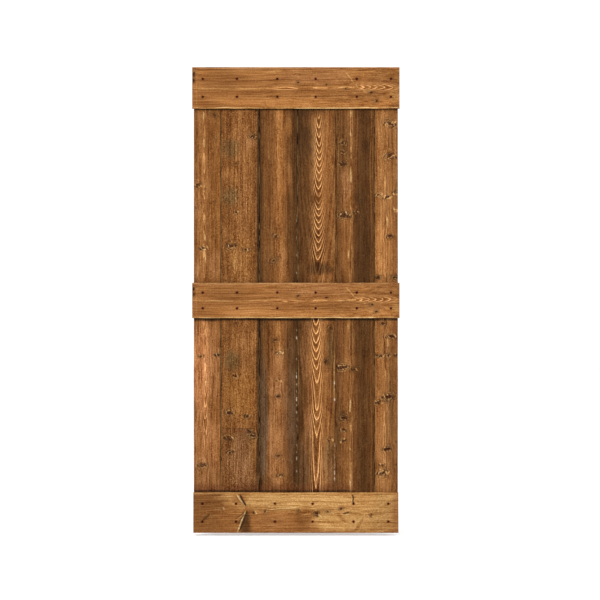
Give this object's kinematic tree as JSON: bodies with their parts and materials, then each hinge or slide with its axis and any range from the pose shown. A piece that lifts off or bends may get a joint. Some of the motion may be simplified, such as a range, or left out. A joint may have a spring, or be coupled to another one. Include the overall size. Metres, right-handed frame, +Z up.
{
  "type": "barn door",
  "caption": "Plank sliding door leaf: upright tongue-and-groove boards held by horizontal rails screwed across the front.",
  "frame": {"origin": "middle of the door's footprint, on its bottom edge", "axes": "+X across the door to the viewer's right as seen from the front, +Y through the door from the railed front to the plain back, +Z up"},
  "size_m": [0.95, 0.038, 2.134],
  "materials": {
    "plank_1_wood": "brown stained pine, satin, softly worn arrises",
    "plank_2_wood": "brown stained pine, satin, softly worn arrises",
    "plank_3_wood": "brown stained pine, satin, softly worn arrises",
    "plank_4_wood": "brown stained pine, satin, softly worn arrises",
    "plank_5_wood": "brown stained pine, satin, softly worn arrises",
    "plank_6_wood": "brown stained pine, satin, softly worn arrises",
    "upper_rail_wood": "brown stained pine, satin, softly worn arrises",
    "bottom_rail_wood": "brown stained pine, satin, softly worn arrises",
    "screw_black": "black phosphated steel, satin"
  },
  "bodies": {
    "root": {"plank_1": "plank_1_wood", "plank_2": "plank_2_wood", "plank_3": "plank_3_wood", "plank_4": "plank_4_wood", "plank_5": "plank_5_wood", "plank_6": "plank_6_wood", "top_rail": "upper_rail_wood", "middle_rail": "upper_rail_wood", "bottom_rail": "bottom_rail_wood", "top_rail_screws": "screw_black", "middle_rail_screws": "screw_black", "bottom_rail_screws": "screw_black"}
  },
  "joints": []
}
